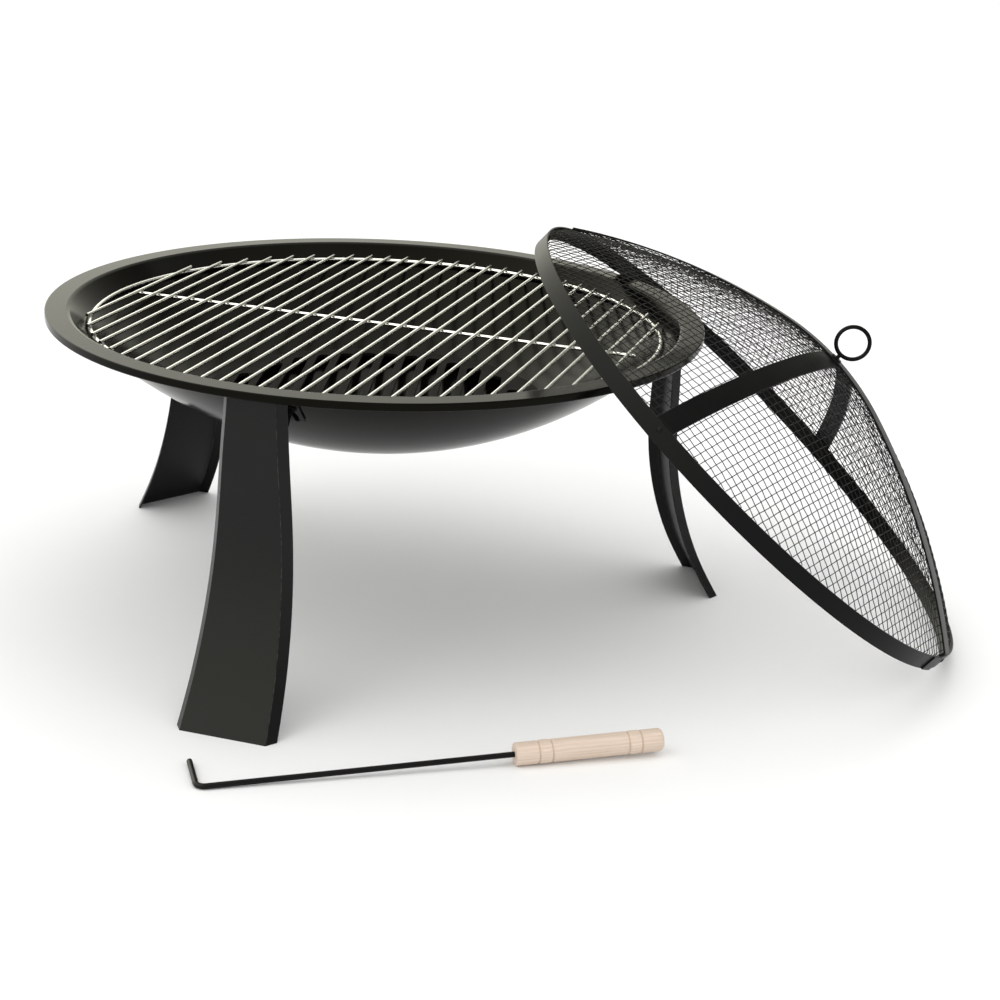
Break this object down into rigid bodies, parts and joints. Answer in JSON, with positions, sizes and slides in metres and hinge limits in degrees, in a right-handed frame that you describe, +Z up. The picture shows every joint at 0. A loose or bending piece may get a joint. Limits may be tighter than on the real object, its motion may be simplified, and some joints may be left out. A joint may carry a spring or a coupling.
{
  "type": "fire pit",
  "caption": "Round steel fire bowl on flared sheet legs, with a fire grate, a chrome cooking grate, a domed mesh lid leaning on the rim and a poker.",
  "frame": {"origin": "middle of the whole set's footprint, on the floor", "axes": "+Z up; +X from the bowl towards the leaning lid; +Y away from the poker"},
  "size_m": [1.0802, 0.9012, 0.4586],
  "materials": {
    "bowl_enamel": "gloss",
    "chrome_wire": "polished",
    "fire_grate_iron": "matte",
    "leg_coating": "satin",
    "lid_coating": "satin",
    "lid_mesh_wire": "satin",
    "black_hardware": "satin",
    "poker_coating": "satin",
    "poker_wood": "matte"
  },
  "bodies": {
    "stand": {"bowl": "bowl_enamel", "front_leg": "leg_coating", "front_leg_bracket": "black_hardware", "front_leg_bolts": "black_hardware", "front_leg_washers": "black_hardware", "front_leg_wing_nuts": "black_hardware", "right_leg": "leg_coating", "right_leg_bracket": "black_hardware", "right_leg_bolts": "black_hardware", "right_leg_washers": "black_hardware", "right_leg_wing_nuts": "black_hardware", "rear_leg": "leg_coating", "rear_leg_bracket": "black_hardware", "rear_leg_bolts": "black_hardware", "rear_leg_washers": "black_hardware", "rear_leg_wing_nuts": "black_hardware"},
    "cooking_grate": {"cooking_grate_ring": "chrome_wire", "cooking_grate_bars": "chrome_wire", "cooking_grate_crossbar": "chrome_wire"},
    "fire_grate": {"fire_grate": "fire_grate_iron"},
    "lid": {"lid_band": "lid_coating", "lid_mesh": "lid_mesh_wire", "lid_long_strap": "lid_coating", "lid_cross_strap": "lid_coating", "lid_rivets": "black_hardware", "lid_handle_ring": "lid_coating", "lid_handle_washer": "black_hardware", "lid_handle_nut": "black_hardware"},
    "poker": {"poker_rod": "poker_coating", "poker_handle": "poker_wood"}
  },
  "joints": [
    {"name": "lid_lift", "type": "slide", "parent": "stand", "child": "lid", "axis": [0.651, -0.0811, 0.7547], "range_m": [0, 0.3]},
    {"name": "cooking_grate_lift", "type": "slide", "parent": "stand", "child": "cooking_grate", "axis": [-0.5405, 0.0673, 0.8387], "range_m": [0, 0.052]},
    {"name": "fire_grate_lift", "type": "slide", "parent": "stand", "child": "fire_grate", "axis": [0, 0, 1], "range_m": [0, 0.075]},
    {"name": "poker_lift", "type": "slide", "parent": "stand", "child": "poker", "axis": [0, 0, 1], "range_m": [0, 0.25]}
  ]
}
